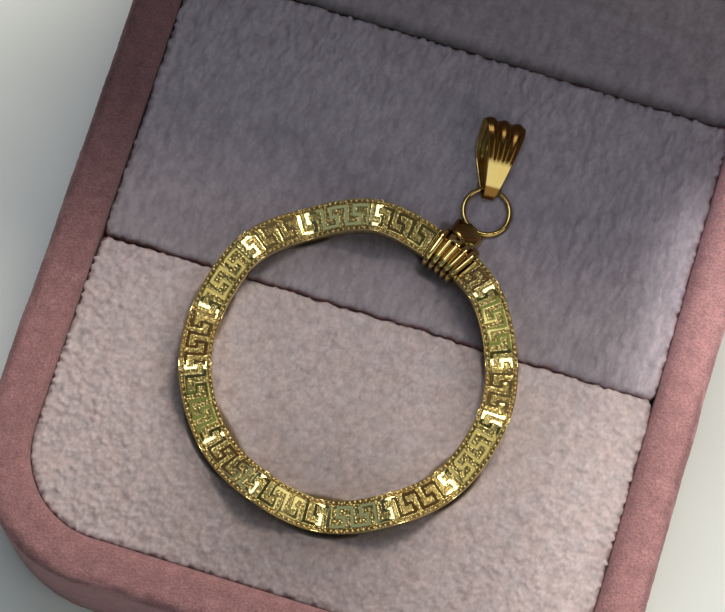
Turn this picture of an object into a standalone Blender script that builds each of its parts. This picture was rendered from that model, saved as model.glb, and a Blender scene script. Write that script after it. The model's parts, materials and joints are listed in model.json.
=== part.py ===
"""Greek key ring pendant lying on the plush pad of an open velvet jewellery box.

Lengths are in metres, angles in degrees, +Z is up and +Y is towards the lid's hinge.
The origin is the middle of the box's underside. The pendant lies as it was put down: its ring
rests on the pad, the jump ring links the collar's eye and the bail, and both lie beside it.
"""

import math

import bmesh
import bpy
from mathutils import Matrix, Vector

# Velvet box
PAD_WIDTH = 0.0546
PAD_DEPTH = 0.0560
RIM_WIDTH = 0.0045
FRONT_CORNER_RADIUS = 0.0085
BACK_CORNER_RADIUS = 0.0020
BASE_HEIGHT = 0.0200
FLOOR_THICKNESS = 0.0020
PAD_DROP = 0.0026
PAD_EDGE_ROUND = 0.0013
CREASE_CORNER_RADIUS = 0.0010
RIM_EDGE_ROUND = 0.0014
FOOT_EDGE_ROUND = 0.0008

# Lid, modelled shut and turned open on its hinge
LID_HEIGHT = 0.0160
LID_TOP_THICKNESS = 0.0025
LID_TOP_ROUND = 0.0030
LINING_THICKNESS = 0.0095
OPEN_ANGLE = 100.0
HINGE_OFFSET = 0.0002
HINGE_ROD_LENGTH = 0.0380

# Ring with the running key
RING_CENTRE_X = -0.0011
RING_CENTRE_Y = -0.0057
RING_OUTER_RADIUS = 0.0160
RING_WIDTH = 0.0031
RING_THICKNESS = 0.0016
RING_EDGE_CHAMFER = 0.00010
WAVE_COUNT = 7
WAVE_HEIGHT = 0.00105
WAVE_SHARPNESS = 0.08
CREST_ANGLE = 45.35
BEAD_MARGIN = 0.00036
KEYS_PER_WAVE = 6
KEY_ANGLE = 5.4
KEY_LINE = 0.00036
KEY_RELIEF = 0.00020
OUTER_RISER_SHARE = 0.34
INNER_RISER_SHARE = 0.62

# Collar with its eye
COLLAR_ANGLE = 65.4
COLLAR_LENGTH = 0.0040
COLLAR_WALL = 0.00038
COLLAR_CLEARANCE = 0.00025
RIB_COUNT = 5
RIB_HEIGHT = 0.00018
EYE_WALL = 0.00070
EYE_LENGTH = 0.0015
EYE_NECK = 0.00048
EYE_TURN = 1.0

# Jump ring and bail
JUMP_OUTER_DIAMETER = 0.0051
JUMP_WIRE = 0.00055
JUMP_HEIGHT = 0.00195
JUMP_LEAN = 8.0
JUMP_SIDES = 16
WIRE_SIDES = 6
WIRE_CLEARANCE = 0.00033
BAIL_ANGLE = 96.0
BAIL_ROLL = 24.0
BAIL_PITCH = 13.5
BAIL_LENGTH = 0.00735
BAIL_TOP_RADIUS = 0.0015
BAIL_TOP_WIDTH = 0.0038
BAIL_FOOT_WIDTH = 0.0014
BAIL_WALL = 0.00030
FLUTE_COUNT = 3
FLUTE_DEPTH = 0.00022

# Clearance between pieces that touch on the real thing, and how far cutters reach out
SEAT_GAP = 0.0003
CUTTER_REACH = 0.0050

# Mesh steps
CORNER_STEPS = 8
EDGE_STEPS = 3
FOOT_STEPS = 2
RIB_STEPS = 4
COLLAR_CORNER_STEPS = 3
FLUTE_STEPS = 4
BAIL_ARC_STEPS = 7
BAIL_LEAF_STEPS = 6
ROD_SIDES = 16
EYE_SIDES = 8
SHARP_ANGLE = 30.0
WELD = 0.000001

# One unit of the key, outer row first, in the columns that key_columns gives
KEY_CHART = (
    "#.####",
    "#.#...",
    "#.###.",
    "#...#.",
    "#####.",
)

# Sizes that follow from the ones above
RECESS_WIDTH = PAD_WIDTH + 2 * SEAT_GAP
RECESS_DEPTH = PAD_DEPTH + 2 * SEAT_GAP
BOX_WIDTH = RECESS_WIDTH + 2 * RIM_WIDTH
BOX_DEPTH = RECESS_DEPTH + 2 * RIM_WIDTH
RECESS_CORNERS = (FRONT_CORNER_RADIUS, BACK_CORNER_RADIUS)
BOX_CORNERS = (FRONT_CORNER_RADIUS + RIM_WIDTH, BACK_CORNER_RADIUS + RIM_WIDTH)
PAD_CORNERS = (FRONT_CORNER_RADIUS - SEAT_GAP, BACK_CORNER_RADIUS - SEAT_GAP)
PAD_TOP = BASE_HEIGHT - PAD_DROP
HINGE_Y = BOX_DEPTH / 2 + HINGE_OFFSET
HINGE_Z = BASE_HEIGHT + HINGE_OFFSET
RING_INNER_RADIUS = RING_OUTER_RADIUS - RING_WIDTH
RING_MID_RADIUS = RING_OUTER_RADIUS - RING_WIDTH / 2
KEY_COUNT = WAVE_COUNT * KEYS_PER_WAVE
COLLAR_UNDER = COLLAR_CLEARANCE + COLLAR_WALL + RIB_HEIGHT
RING_LIFT = COLLAR_UNDER
RING_MID_Z = (PAD_TOP + SEAT_GAP + WAVE_HEIGHT + RING_THICKNESS / 2
              + RING_LIFT / 2 * RING_OUTER_RADIUS / RING_MID_RADIUS)
JUMP_RADIUS = (JUMP_OUTER_DIAMETER - JUMP_WIRE) / 2
EYE_HOLE_RADIUS = JUMP_WIRE / 2 + WIRE_CLEARANCE
EYE_RADIUS = (RING_OUTER_RADIUS + COLLAR_CLEARANCE + COLLAR_WALL + EYE_NECK
              + EYE_HOLE_RADIUS + EYE_WALL / 2)
EYE_ANGLE = COLLAR_ANGLE + EYE_TURN
JUMP_DISTANCE = EYE_RADIUS + JUMP_RADIUS
BAIL_FOOT_RADIUS = JUMP_WIRE / 2 + WIRE_CLEARANCE + BAIL_WALL


def clear_scene():
    """Empty the file, so that only the model is in it."""
    for item in list(bpy.data.objects):
        bpy.data.objects.remove(item, do_unlink=True)


def new_collection(name):
    """Add a collection to the scene."""
    collection = bpy.data.collections.new(name)
    bpy.context.scene.collection.children.link(collection)
    return collection


def new_material(name, colour, metallic, roughness):
    """A Principled material with one colour."""
    made = bpy.data.materials.new(name)
    made.use_nodes = True
    shader = made.node_tree.nodes["Principled BSDF"]
    shader.inputs["Base Color"].default_value = (*colour, 1.0)
    shader.inputs["Metallic"].default_value = metallic
    shader.inputs["Roughness"].default_value = roughness
    return made


def finish_object(name, bm, material, collection, parent=None):
    """Turn a bmesh into a named object with smooth shading."""
    bmesh.ops.recalc_face_normals(bm, faces=bm.faces)
    mesh = bpy.data.meshes.new(name)
    bm.to_mesh(mesh)
    bm.free()
    mesh.materials.append(material)
    mesh.shade_smooth()
    mesh.set_sharp_from_angle(angle=math.radians(SHARP_ANGLE))
    made = bpy.data.objects.new(name, mesh)
    collection.objects.link(made)
    made.parent = parent
    return made


def mark_helper(helper):
    """A cutter or joined-on shape is drawn as wire and left out of the model."""
    helper.hide_render = True
    helper.display_type = "WIRE"


def add_boolean(target, helper, operation):
    """Cut or join a helper with the EXACT solver."""
    mark_helper(helper)
    modifier = target.modifiers.new(operation.lower(), "BOOLEAN")
    modifier.operation = operation
    modifier.solver = "EXACT"
    modifier.object = helper


def rounded_block(low, high, corners, top_round, foot_round):
    """A block with rounded upright corners, front and back, then rounded top and foot edges."""
    bm = bmesh.new()
    bmesh.ops.create_cube(bm, size=1.0)
    size = Vector(high) - Vector(low)
    middle = (Vector(high) + Vector(low)) / 2
    bmesh.ops.scale(bm, vec=size, verts=bm.verts)
    bmesh.ops.translate(bm, vec=middle, verts=bm.verts)

    for level, radius in zip((low[1], high[1]), corners):
        upright = []
        for edge in bm.edges:
            first, second = (vert.co for vert in edge.verts)
            is_upright = (first.xy - second.xy).length < WELD < abs(first.z - second.z)
            at_side = abs(abs(first.x - middle.x) - size.x / 2) < WELD
            if is_upright and at_side and abs(first.y - level) < WELD:
                upright.append(edge)
        round_edges(bm, upright, radius, CORNER_STEPS)
    for level, radius, steps in ((high[2], top_round, EDGE_STEPS), (low[2], foot_round, FOOT_STEPS)):
        if radius:
            loop = [edge for edge in bm.edges
                    if all(abs(vert.co.z - level) < WELD for vert in edge.verts)]
            round_edges(bm, loop, radius, steps)
    return bm


def round_edges(bm, edges, radius, steps):
    """Round the given edges with the bevel tool."""
    bmesh.ops.bevel(bm, geom=edges, offset=radius, offset_type="OFFSET", segments=steps,
                    profile=0.5, affect="EDGES", clamp_overlap=True)


def folded_grid(steps_along, steps_across, place, closed_across=True):
    """A flat grid folded into a band: place gives the point of column i and row j."""
    bm = bmesh.new()
    bmesh.ops.create_grid(bm, x_segments=steps_along, y_segments=steps_across, size=0.5)
    for vert in bm.verts:
        column = round((vert.co.x + 0.5) * steps_along)
        row = round((vert.co.y + 0.5) * steps_across)
        vert.co = place(column % steps_along, row % steps_across if closed_across else row)
    bmesh.ops.remove_doubles(bm, verts=bm.verts, dist=WELD)
    return bm


def ring_wave(angle):
    """Height of the ring's wave at an angle: a cosine with its crests pinched a little."""
    phase = math.radians(WAVE_COUNT * (angle - CREST_ANGLE))
    shape = math.cos(phase) + WAVE_SHARPNESS * math.cos(3 * phase)
    return WAVE_HEIGHT * shape / (1 + WAVE_SHARPNESS)


def ring_point(radius, angle, height):
    """A point of the ring: height is above the middle of its band, lifted towards the collar."""
    turn = math.radians(angle)
    lean = RING_LIFT / 2 * radius / RING_MID_RADIUS * math.cos(math.radians(angle - COLLAR_ANGLE))
    return Vector((
        RING_CENTRE_X + radius * math.cos(turn),
        RING_CENTRE_Y + radius * math.sin(turn),
        RING_MID_Z + ring_wave(angle) + height + lean,
    ))


def key_columns():
    """Where the columns of one key unit start, as shares of its length."""
    half_line = KEY_LINE / (2 * math.pi * RING_MID_RADIUS / KEY_COUNT) / 2
    starts = []
    for middle in (0.0, OUTER_RISER_SHARE, INNER_RISER_SHARE):
        starts += [middle - half_line, middle + half_line]
    return starts


def key_rows():
    """Radii of the lines between the key's rows, outer first."""
    outer = RING_OUTER_RADIUS - RING_EDGE_CHAMFER - BEAD_MARGIN
    inner = RING_INNER_RADIUS + RING_EDGE_CHAMFER + BEAD_MARGIN
    gap = (outer - inner - 3 * KEY_LINE) / 2
    radii = [outer]
    for width in (KEY_LINE, gap, KEY_LINE, gap, KEY_LINE):
        radii.append(radii[-1] - width)
    return radii


def make_key_ring(material, collection):
    """The wavy band, with the cells of the key raised on its top face."""
    columns = key_columns()
    top = RING_THICKNESS / 2
    section = [(RING_OUTER_RADIUS - RING_EDGE_CHAMFER, top)]
    section += [(radius, top) for radius in key_rows()]
    section += [
        (RING_INNER_RADIUS + RING_EDGE_CHAMFER, top),
        (RING_INNER_RADIUS, top - RING_EDGE_CHAMFER),
        (RING_INNER_RADIUS, -top),
        (RING_OUTER_RADIUS, -top),
        (RING_OUTER_RADIUS, top - RING_EDGE_CHAMFER),
    ]
    steps = KEY_COUNT * len(columns)

    def angle_of(column):
        unit, part = divmod(column, len(columns))
        return KEY_ANGLE - (unit + columns[part]) * 360.0 / KEY_COUNT

    def place(column, row):
        radius, height = section[row]
        return ring_point(radius, angle_of(column), height)

    bm = folded_grid(steps, len(section), place)
    raised = raised_cells(bm, steps, angle_of)
    bmesh.ops.recalc_face_normals(bm, faces=bm.faces)
    lifted = bmesh.ops.extrude_face_region(bm, geom=raised)["geom"]
    tops = [item for item in lifted if isinstance(item, bmesh.types.BMVert)]
    bmesh.ops.translate(bm, vec=(0.0, 0.0, KEY_RELIEF), verts=tops)
    bmesh.ops.delete(bm, geom=raised, context="FACES")
    return finish_object("key_ring", bm, material, collection)


def raised_cells(bm, steps, angle_of):
    """The top faces of the band whose cell is marked in the key's chart."""
    rows = key_rows()
    width = len(KEY_CHART[0])
    turns = [angle_of(column) for column in range(steps + 1)]
    raised = []
    for face in bm.faces:
        middle = face.calc_center_median()
        flat = Vector((middle.x - RING_CENTRE_X, middle.y - RING_CENTRE_Y))
        radius = flat.length
        if not rows[-1] < radius < rows[0]:
            continue
        angle = math.degrees(math.atan2(flat.y, flat.x))
        if middle.z < ring_point(radius, angle, 0.0).z:
            continue
        row = sum(radius < line for line in rows) - 1
        share = (turns[0] - angle) % 360.0
        column = sum(turns[0] - turn <= share for turn in turns) - 1
        if KEY_CHART[row][column % width] == "#":
            raised.append(face)
    return raised


def collar_outline():
    """Cross-section of the collar's wall: angle from its start and thickness over the band."""
    span = math.degrees(COLLAR_LENGTH / RING_MID_RADIUS)
    start = COLLAR_ANGLE - span / 2
    steps = RIB_COUNT * RIB_STEPS
    outer = []
    for step in range(steps + 1):
        swell = RIB_HEIGHT * abs(math.sin(math.pi * step / RIB_STEPS))
        outer.append((start + span * step / steps, COLLAR_CLEARANCE + COLLAR_WALL + swell))
    inner = [(start + span * step / steps, COLLAR_CLEARANCE) for step in range(steps, -1, -2)]
    return outer + inner


def make_collar(material, collection, helpers):
    """Ribbed sleeve round the band, joined to the eye for the jump ring."""
    outline = collar_outline()
    low = -RING_THICKNESS / 2
    high = RING_THICKNESS / 2 + KEY_RELIEF
    corners = (
        (RING_OUTER_RADIUS, high, 0.0),
        (RING_INNER_RADIUS, high, 90.0),
        (RING_INNER_RADIUS, low, 180.0),
        (RING_OUTER_RADIUS, low, 270.0),
    )
    points = COLLAR_CORNER_STEPS + 1

    def place(column, row):
        angle, thickness = outline[column]
        radius, height, turn_start = corners[row // points]
        turn = math.radians(turn_start + 90.0 * (row % points) / COLLAR_CORNER_STEPS)
        return ring_point(radius + thickness * math.cos(turn), angle,
                          height + thickness * math.sin(turn))

    bm = folded_grid(len(outline), len(corners) * points, place)
    collar = finish_object("ribbed_collar", bm, material, collection)
    eye = make_eye(material, helpers)
    add_boolean(collar, eye, "UNION")
    return collar


def jump_frame():
    """Middle of the jump ring and its turned axes."""
    turn = math.radians(EYE_ANGLE)
    middle = Vector((
        RING_CENTRE_X + JUMP_DISTANCE * math.cos(turn),
        RING_CENTRE_Y + JUMP_DISTANCE * math.sin(turn),
        PAD_TOP + JUMP_HEIGHT,
    ))
    return Matrix.Translation(middle) @ Matrix.Rotation(math.radians(JUMP_LEAN), 4, "Y")


def jump_point(angle):
    """A point on the middle of the jump ring's wire, straight over the given plan direction."""
    frame = jump_frame()
    turn = math.radians(angle)
    return frame @ Vector((JUMP_RADIUS * math.cos(turn), JUMP_RADIUS * math.sin(turn), 0.0))


def make_eye(material, helpers):
    """A short barrel whose hole runs along the jump ring's wire, with a neck towards the collar."""
    wall_middle = EYE_HOLE_RADIUS + EYE_WALL / 2
    bpy.ops.mesh.primitive_torus_add(
        major_segments=JUMP_SIDES, minor_segments=EYE_SIDES,
        major_radius=wall_middle, minor_radius=EYE_WALL / 2)
    eye = bpy.context.object
    eye.name = "eye_helper"
    for owner in list(eye.users_collection):
        owner.objects.unlink(eye)
    helpers.objects.link(eye)
    eye.data.transform(Matrix.Diagonal((1.0, 1.0, EYE_LENGTH / EYE_WALL, 1.0)))
    for vert in eye.data.vertices:
        towards_collar = -vert.co.x / wall_middle
        if towards_collar > 0.5 and vert.co.xy.length > wall_middle:
            vert.co.x -= EYE_NECK
    eye.data.materials.append(material)
    eye.location = jump_point(EYE_ANGLE + 180.0)
    eye.rotation_euler = (math.radians(90.0), 0.0, math.radians(EYE_ANGLE))
    return eye


def make_jump_ring(material, collection):
    """Round wire ring through the eye and the bail's foot."""
    bpy.ops.mesh.primitive_torus_add(
        major_segments=JUMP_SIDES, minor_segments=WIRE_SIDES,
        major_radius=JUMP_RADIUS, minor_radius=JUMP_WIRE / 2)
    ring = bpy.context.object
    ring.name = "jump_ring"
    for owner in list(ring.users_collection):
        owner.objects.unlink(ring)
    collection.objects.link(ring)
    ring.data.materials.append(material)
    ring.data.shade_smooth()
    ring.matrix_world = jump_frame()
    return ring


def bail_loop():
    """Side view of the bail: two arcs joined by the straight front and back leaves."""
    span = BAIL_LENGTH - BAIL_FOOT_RADIUS - BAIL_TOP_RADIUS
    slope = math.asin((BAIL_TOP_RADIUS - BAIL_FOOT_RADIUS) / span)
    points = []
    for middle, radius, start, end in (
            (span, BAIL_TOP_RADIUS, math.pi / 2 + slope, -math.pi / 2 - slope),
            (0.0, BAIL_FOOT_RADIUS, -math.pi / 2 - slope, -3 * math.pi / 2 + slope)):
        for step in range(BAIL_ARC_STEPS + 1):
            turn = start + (end - start) * step / BAIL_ARC_STEPS
            points.append((middle + radius * math.cos(turn), radius * math.sin(turn), turn))
        leaf_start = points[-1]
        following = (0.0, BAIL_FOOT_RADIUS) if middle else (span, BAIL_TOP_RADIUS)
        leaf_end = (following[0] + following[1] * math.cos(end), following[1] * math.sin(end), end)
        for step in range(1, BAIL_LEAF_STEPS):
            share = step / BAIL_LEAF_STEPS
            points.append(tuple(a + (b - a) * share for a, b in zip(leaf_start, leaf_end)))
    return points, span


def make_bail(material, collection):
    """Tapered strip with three flutes, folded over into a loop and closed round the jump ring."""
    points, span = bail_loop()
    steps_across = FLUTE_COUNT * FLUTE_STEPS

    def place(column, row):
        along, out, facing = points[column]
        share = (along + BAIL_FOOT_RADIUS) / (span + BAIL_FOOT_RADIUS + BAIL_TOP_RADIUS)
        width = BAIL_FOOT_WIDTH + (BAIL_TOP_WIDTH - BAIL_FOOT_WIDTH) * share
        swell = FLUTE_DEPTH * share * abs(math.sin(math.pi * row / FLUTE_STEPS))
        return Vector((
            width * (row / steps_across - 0.5),
            along + swell * math.cos(facing),
            out + swell * math.sin(facing),
        ))

    bm = folded_grid(len(points), steps_across, place, closed_across=False)
    bail = finish_object("bail", bm, material, collection)
    wall = bail.modifiers.new("wall", "SOLIDIFY")
    wall.thickness = BAIL_WALL
    wall.offset = -1.0
    bail.matrix_world = (
        Matrix.Translation(jump_point(90.0))
        @ Matrix.Rotation(math.radians(BAIL_ANGLE - 90.0), 4, "Z")
        @ Matrix.Rotation(math.radians(BAIL_PITCH), 4, "X")
        @ Matrix.Rotation(math.radians(BAIL_ROLL), 4, "Y"))
    return bail


def make_box_base(material, collection, helpers):
    """Velvet-covered shell with a recess for the pads."""
    outer = rounded_block((-BOX_WIDTH / 2, -BOX_DEPTH / 2, 0.0),
                          (BOX_WIDTH / 2, BOX_DEPTH / 2, BASE_HEIGHT),
                          BOX_CORNERS, RIM_EDGE_ROUND, FOOT_EDGE_ROUND)
    base = finish_object("box_base", outer, material, collection)
    recess = rounded_block((-RECESS_WIDTH / 2, -RECESS_DEPTH / 2, FLOOR_THICKNESS),
                           (RECESS_WIDTH / 2, RECESS_DEPTH / 2, BASE_HEIGHT + CUTTER_REACH),
                           RECESS_CORNERS, 0.0, 0.0)
    add_boolean(base, finish_object("recess_cutter", recess, material, helpers), "DIFFERENCE")
    return base


def make_pad(name, side, material, collection):
    """One half of the pad: side is -1 for the front half and 1 for the rear half."""
    near = side * SEAT_GAP / 2
    far = side * PAD_DEPTH / 2
    corners = (CREASE_CORNER_RADIUS, PAD_CORNERS[1])
    if side < 0:
        corners = (PAD_CORNERS[0], CREASE_CORNER_RADIUS)
    bm = rounded_block((-PAD_WIDTH / 2, min(near, far), FLOOR_THICKNESS + SEAT_GAP),
                       (PAD_WIDTH / 2, max(near, far), PAD_TOP),
                       corners, PAD_EDGE_ROUND, 0.0)
    return finish_object(name, bm, material, collection)


def shut_lid_block(width, depth, low, high, corners, top_round, foot_round):
    """A block of the shut lid, measured from the hinge's axis."""
    bm = rounded_block((-width / 2, -depth / 2, low), (width / 2, depth / 2, high),
                       corners, top_round, foot_round)
    bmesh.ops.translate(bm, vec=(0.0, -HINGE_Y, -HINGE_Z), verts=bm.verts)
    return bm


def make_lid(velvet, plush, collection, helpers):
    """Hollow lid and its lining, turned open about an empty on the hinge's axis."""
    hinge = bpy.data.objects.new("lid_hinge", None)
    hinge.location = (0.0, HINGE_Y, HINGE_Z)
    hinge.rotation_euler = (math.radians(-OPEN_ANGLE), 0.0, 0.0)
    collection.objects.link(hinge)
    rim = BASE_HEIGHT + 2 * HINGE_OFFSET
    ceiling = rim + LID_HEIGHT - LID_TOP_THICKNESS
    shell = shut_lid_block(BOX_WIDTH, BOX_DEPTH, rim, rim + LID_HEIGHT,
                           BOX_CORNERS, LID_TOP_ROUND, RIM_EDGE_ROUND)
    lid = finish_object("box_lid", shell, velvet, collection, hinge)
    hollow = shut_lid_block(RECESS_WIDTH, RECESS_DEPTH, rim - CUTTER_REACH, ceiling,
                            RECESS_CORNERS, 0.0, 0.0)
    add_boolean(lid, finish_object("lid_cutter", hollow, velvet, helpers, hinge), "DIFFERENCE")
    pad = shut_lid_block(PAD_WIDTH, PAD_DEPTH, ceiling - SEAT_GAP - LINING_THICKNESS, ceiling - SEAT_GAP,
                         PAD_CORNERS, 0.0, PAD_EDGE_ROUND)
    finish_object("lid_lining", pad, plush, collection, hinge)


def make_hinge_rod(material, collection):
    """Rod in the groove between the rounded back edges of base and lid."""
    radius = math.sqrt(2) * (RIM_EDGE_ROUND + HINGE_OFFSET) - RIM_EDGE_ROUND - SEAT_GAP
    bm = bmesh.new()
    bmesh.ops.create_cone(bm, cap_ends=True, segments=ROD_SIDES, radius1=radius, radius2=radius,
                          depth=HINGE_ROD_LENGTH)
    rod = finish_object("hinge_rod", bm, material, collection)
    rod.rotation_euler = (0.0, math.radians(90.0), 0.0)
    rod.location = (0.0, HINGE_Y, HINGE_Z)
    return rod


def main():
    """Build the pendant and its box."""
    clear_scene()
    model = new_collection("key_ring_pendant_box")
    helpers = new_collection("helpers")
    gold = new_material("yellow_gold", (0.80, 0.58, 0.22), 1.0, 0.22)
    velvet = new_material("rose_velvet", (0.46, 0.20, 0.23), 0.0, 0.95)
    plush = new_material("pale_plush", (0.60, 0.50, 0.52), 0.0, 1.0)
    steel = new_material("hinge_steel", (0.55, 0.55, 0.56), 1.0, 0.35)
    make_box_base(velvet, model, helpers)
    make_pad("front_pad", -1, plush, model)
    make_pad("rear_pad", 1, plush, model)
    make_lid(velvet, plush, model, helpers)
    make_hinge_rod(steel, model)
    make_key_ring(gold, model)
    make_collar(gold, model, helpers)
    make_jump_ring(gold, model)
    make_bail(gold, model)


main()
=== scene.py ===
"""Greek key ring pendant in an open velvet jewellery box: the finished look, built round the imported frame.

Lengths are in metres, +Z is up and +Y is towards the lid's hinge. The origin is the middle of the
box's underside. Every new piece is a surface worked out with numpy, in the place where the frame's
solid lies, and takes its finish from node materials.
"""

import json
import math

import bmesh
import bpy
import numpy as np
from bpy.props import FloatProperty, FloatVectorProperty, IntProperty, PointerProperty
from mathutils import Matrix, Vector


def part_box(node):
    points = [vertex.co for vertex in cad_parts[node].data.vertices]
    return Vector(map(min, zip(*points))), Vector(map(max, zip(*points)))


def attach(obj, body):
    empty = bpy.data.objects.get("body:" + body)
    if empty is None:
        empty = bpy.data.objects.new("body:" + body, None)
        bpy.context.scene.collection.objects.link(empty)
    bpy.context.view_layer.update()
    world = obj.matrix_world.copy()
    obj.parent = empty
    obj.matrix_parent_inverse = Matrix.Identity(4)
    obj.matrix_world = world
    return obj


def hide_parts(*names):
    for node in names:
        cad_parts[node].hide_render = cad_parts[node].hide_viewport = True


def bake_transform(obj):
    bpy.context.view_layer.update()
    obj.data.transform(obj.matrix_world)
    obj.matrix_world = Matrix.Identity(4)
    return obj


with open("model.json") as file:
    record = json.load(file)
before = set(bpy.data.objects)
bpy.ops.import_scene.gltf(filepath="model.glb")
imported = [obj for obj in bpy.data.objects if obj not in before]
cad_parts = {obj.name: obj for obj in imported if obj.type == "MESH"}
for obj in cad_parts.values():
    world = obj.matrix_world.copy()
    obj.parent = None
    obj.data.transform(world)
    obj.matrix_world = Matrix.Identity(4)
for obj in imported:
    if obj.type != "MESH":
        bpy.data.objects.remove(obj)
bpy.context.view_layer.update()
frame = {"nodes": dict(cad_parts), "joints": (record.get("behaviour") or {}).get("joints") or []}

bl_info = {
    "name": "Greek Key Pendant in a Velvet Box",
    "version": (1, 0, 0),
    "blender": (4, 5, 0),
    "location": "3D View > Sidebar > Pendant",
    "description": "Builds a wavy key ring pendant and its plush-lined box round the packed frame",
    "category": "Add Mesh",
}

BASE_LOW, BASE_HIGH = (np.array(corner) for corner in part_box("box_base"))
FRONT_LOW, FRONT_HIGH = (np.array(corner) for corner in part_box("front_pad"))
REAR_LOW, REAR_HIGH = (np.array(corner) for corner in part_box("rear_pad"))
HINGE = next(joint for joint in frame["joints"] if joint["name"] == "lid_hinge")
HINGE_Y, HINGE_Z = HINGE["pos_m"][1:]
OPEN_ANGLE = -math.radians(HINGE["range_deg"][1])
# The wave's sharpness, from 0 to 1, and how far the collar lifts its side of the ring
ZIGZAG = 0.87
COLLAR_LIFT = 0.000405
# Places of the bail and the eye on the jump ring, the eye's from the collar's direction, and its lean
BAIL_AT, EYE_AT, JUMP_LEAN = (math.radians(angle) for angle in (101.0, 181.0, 8.0))
# Gap under the pads, and the shut lid, whose rim lies over the base's as far as the hinge's axis allows
SEAT_GAP = 0.0003
LID_HEIGHT, LID_WALL = 0.0160, 0.0025
LID_TOP = 2 * HINGE_Z - float(BASE_HIGH[2]) + LID_HEIGHT
# Painted shade on the lid's plush and on the hinge flap
LINING_SHADE, FLAP_SHADE = 0.57, 0.58
WELD = 1e-7
SEED = 72


def number(name, description, default, **kind):
    """A number, by default a length in metres."""
    kind = kind or {"unit": "LENGTH"}
    return FloatProperty(name=name, description=description, default=default, **kind)


def turned_by(name, description, degrees):
    """An angle, given in degrees."""
    return number(name, description, math.radians(degrees), subtype="ANGLE", unit="ROTATION")


def whole(name, description, default):
    """A whole number."""
    return IntProperty(name=name, description=description, default=default)


def colour_of(name, description, default):
    """A colour."""
    return FloatVectorProperty(name=name, description=description, subtype="COLOR",
                               size=3, default=default, min=0.0, max=1.0)


def point_at(name, description, default):
    """A place, in metres."""
    return FloatVectorProperty(name=name, description=description, size=len(default),
                               default=default, unit="LENGTH")


class PendantSizes(bpy.types.PropertyGroup):
    """Sizes and colours of the gold pieces."""

    centre: point_at("Ring centre", "Middle of the ring, seen from above", (-0.0011, -0.0057))
    outer_radius: number("Outer radius", "Radius of the ring's outer edge", 0.0160)
    band_width: number("Band width", "Width of the band across its face", 0.0031)
    band_thickness: number("Band thickness", "Thickness of the band", 0.0016)
    wave_count: whole("Waves", "Number of waves round the ring", 7)
    wave_height: number("Wave height", "Rise and fall of the band", 0.00105)
    crest_angle: turned_by("Crest angle", "Direction of the first crest", 45.35)
    keys_per_wave: whole("Keys in a wave", "Number of key units in each wave", 6)
    key_angle: turned_by("Key angle", "Direction of the first key unit", 5.4)
    key_line: number("Key line", "Width of the key's raised line", 0.00036)
    key_relief: number("Key relief", "Height of the key over its ground", 0.000045)
    collar_angle: turned_by("Collar angle", "Direction of the collar", 65.4)
    collar_length: number("Collar length", "Length of the collar along the band", 0.0040)
    jump_radius: number("Jump ring radius", "Radius of the middle of the jump ring's wire", 0.002275)
    jump_wire: number("Jump ring wire", "Diameter of the jump ring's wire", 0.00055)
    bail_length: number("Bail length", "Length of the bail", 0.00760)
    gold: colour_of("Gold", "Colour of the polished gold", (0.86, 0.69, 0.28))
    ground_gold: colour_of("Ground gold", "Colour of the stippled ground", (0.84, 0.66, 0.26))
    # Dark brown of the tarnish in the hollows, also used as painted shade on the eye, the bail and the jump
    # ring
    tarnish_and_shade: colour_of("Tarnish", "Colour of the gold in its hollows", (0.190, 0.078, 0.014))


class BoxSizes(bpy.types.PropertyGroup):
    """Sizes and colours of the box and its plush."""

    rim_width: number("Rim width", "Thickness of the box's walls", 0.0045)
    front_radius: number("Front corner", "Radius of the outer front corners", 0.0130)
    back_radius: number("Back corner", "Radius of the outer back corners", 0.0065)
    rim_round: number("Rim rounding", "Radius of the rim's edges", 0.0012)
    flap_drop: number("Flap drop", "How far the rim is let down under the hinge flap", 0.0016)
    plush_level: number("Plush level", "Height of the plush over the box's foot", 0.0190)
    plush_edge: number("Plush edge", "Rounding of the pads' edges", 0.0007)
    tuft_height: number("Tuft height", "Height of the tufts of the plush", 0.00014)
    plush_pitch: number("Plush pitch", "Distance between the points of the plush", 0.00015)
    velvet: colour_of("Velvet", "Colour of the velvet", (0.396, 0.194, 0.208))
    plush: colour_of("Plush", "Colour of the plush", (0.56, 0.46, 0.475))


class StageSizes(bpy.types.PropertyGroup):
    """Camera, floor and light."""

    target: point_at("Target", "Point that the camera looks at", (-0.00161, 0.00053, 0.0190))
    distance: number("Distance", "Distance from the target to the camera", 0.2582)
    tilt: turned_by("Tilt", "Angle between the view and straight down", 14.23)
    yaw: turned_by("Yaw", "Turn of the camera about the upright", 10.0)
    roll: turned_by("Roll", "Turn of the camera about its view", 7.24)
    lens: number("Lens", "Focal length on a 36 mm wide sensor", 134.48, unit="CAMERA")
    floor: colour_of("Floor", "Colour of the floor", (0.93, 0.97, 0.98))
    light: number("Light", "Strength of all the lights", 1.0, min=0.0)


def pendant():
    """The gold pieces' sizes."""
    return bpy.context.scene.key_pendant


def casket():
    """The box's sizes."""
    return bpy.context.scene.velvet_box


def staging():
    """The stage's sizes."""
    return bpy.context.scene.pendant_stage


def grid_faces(columns, rows, wrap_columns, wrap_rows):
    """Corner numbers of the quads between neighbouring points, point (i, j) being i * rows + j."""
    i, j = np.meshgrid(np.arange(columns if wrap_columns else columns - 1),
                       np.arange(rows if wrap_rows else rows - 1), indexing="ij")
    right, up = (i + 1) % columns, (j + 1) % rows
    return np.stack([i * rows + j, right * rows + j, right * rows + up, i * rows + up], -1).reshape(-1, 4)


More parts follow.
